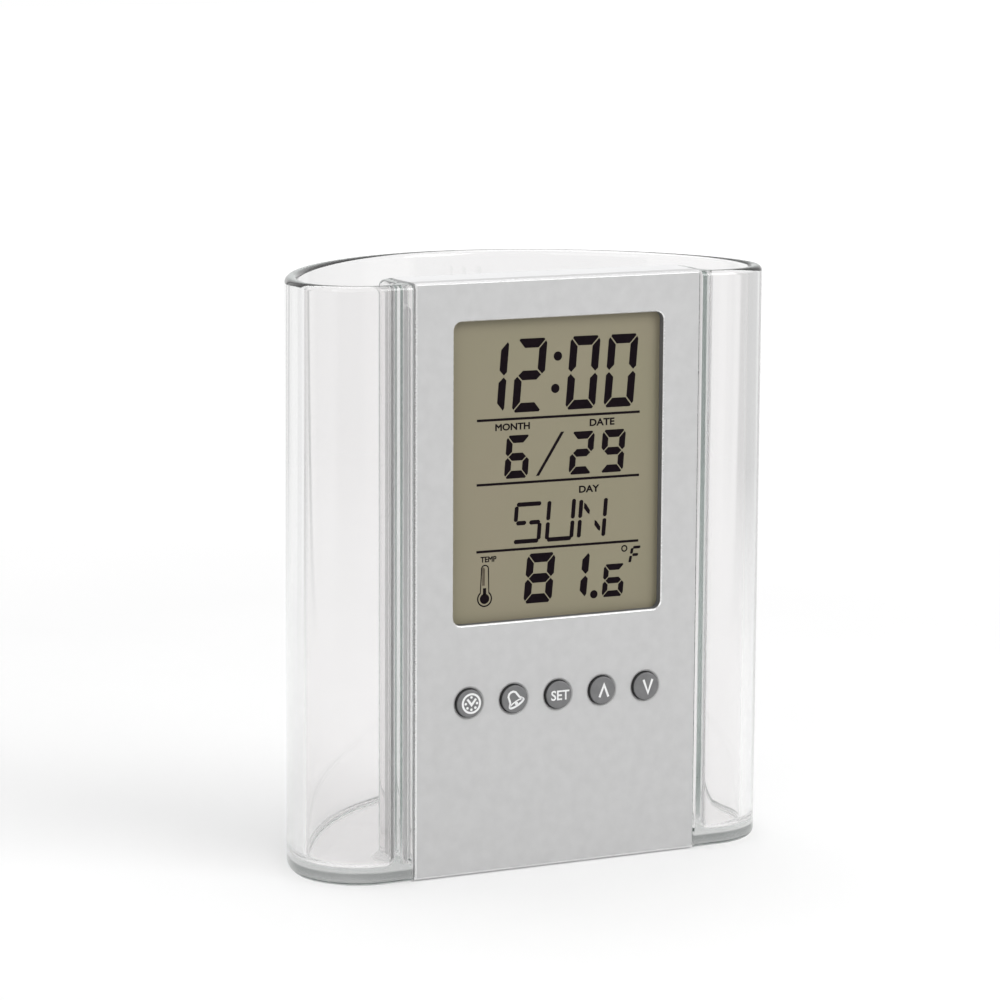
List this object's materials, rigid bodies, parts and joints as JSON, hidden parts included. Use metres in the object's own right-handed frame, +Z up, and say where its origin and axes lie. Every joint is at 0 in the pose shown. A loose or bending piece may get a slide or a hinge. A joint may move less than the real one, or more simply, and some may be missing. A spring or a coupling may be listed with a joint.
{
  "type": "pen holder clock",
  "caption": "Clear oval desk cup for pens with a silver digital clock module, display and round keys, that lifts out of a pocket in its flat front.",
  "frame": {"origin": "centre of the whole object's footprint, at the level it stands on", "axes": "+Z up, -Y out of the flat front with the display, +X to the right of someone facing the display"},
  "size_m": [0.0996, 0.0578, 0.1162],
  "materials": {
    "clear_plastic": "polished clear styrene",
    "silver_paint": "satin silver paint on moulded plastic",
    "silver_plastic": "silver-grey moulded plastic",
    "display_film": "olive-grey reflective liquid crystal film",
    "display_glass": "thin display glass",
    "white_plastic": "white moulded plastic",
    "contact_rubber": "pink silicone with carbon layers",
    "board_laminate": "green solder mask on laminate",
    "black_resin": "black potting resin",
    "key_rubber": "dark grey silicone, matte",
    "cell_steel": "nickel-plated steel",
    "spring_brass": "thin spring brass",
    "screw_steel": "zinc-plated steel",
    "red_wire": "red insulation",
    "black_wire": "black insulation"
  },
  "bodies": {
    "cup": {"clear_cup": "clear_plastic"},
    "clock_module": {"front_panel": "silver_paint", "rear_case": "silver_plastic", "lcd_front_film": "display_film", "lcd_reflector": "display_film", "lcd_front_glass": "display_glass", "lcd_rear_glass": "display_glass", "lcd_frame": "white_plastic", "zebra_strip_upper": "contact_rubber", "zebra_strip_lower": "contact_rubber", "circuit_board": "board_laminate", "chip_blob": "black_resin", "thermistor": "black_resin", "keypad_web": "key_rubber", "battery_cell_left": "cell_steel", "battery_cell_right": "cell_steel", "quartz_crystal": "cell_steel", "battery_contact_negative": "spring_brass", "battery_contact_positive": "spring_brass", "buzzer_disc": "spring_brass", "case_screw_1": "screw_steel", "case_screw_2": "screw_steel", "case_screw_3": "screw_steel", "case_screw_4": "screw_steel", "board_screw_1": "screw_steel", "board_screw_2": "screw_steel", "board_screw_3": "screw_steel", "board_screw_4": "screw_steel", "buzzer_wire_red": "red_wire", "buzzer_wire_black": "black_wire"},
    "key_time": {"button_time": "key_rubber"},
    "key_alarm": {"button_alarm": "key_rubber"},
    "key_set": {"button_set": "key_rubber"},
    "key_up": {"button_up": "key_rubber"},
    "key_down": {"button_down": "key_rubber"},
    "door": {"battery_door": "silver_plastic", "battery_bridge": "spring_brass"}
  },
  "joints": [
    {"name": "module_lift", "type": "slide", "parent": "cup", "child": "clock_module", "axis": [0, 0, 1], "range_m": [0, 0.112]},
    {"name": "time_press", "type": "slide", "parent": "clock_module", "child": "key_time", "axis": [0, 1, 0], "range_m": [0, 0.0008], "stiffness_N_per_m": 800, "springref_m": -0.0004},
    {"name": "alarm_press", "type": "slide", "parent": "clock_module", "child": "key_alarm", "axis": [0, 1, 0], "range_m": [0, 0.0008], "stiffness_N_per_m": 800, "springref_m": -0.0004},
    {"name": "set_press", "type": "slide", "parent": "clock_module", "child": "key_set", "axis": [0, 1, 0], "range_m": [0, 0.0008], "stiffness_N_per_m": 800, "springref_m": -0.0004},
    {"name": "up_press", "type": "slide", "parent": "clock_module", "child": "key_up", "axis": [0, 1, 0], "range_m": [0, 0.0008], "stiffness_N_per_m": 800, "springref_m": -0.0004},
    {"name": "down_press", "type": "slide", "parent": "clock_module", "child": "key_down", "axis": [0, 1, 0], "range_m": [0, 0.0008], "stiffness_N_per_m": 800, "springref_m": -0.0004},
    {"name": "door_slide", "type": "slide", "parent": "clock_module", "child": "door", "axis": [0, 0, -1], "range_m": [0, 0.004]}
  ]
}
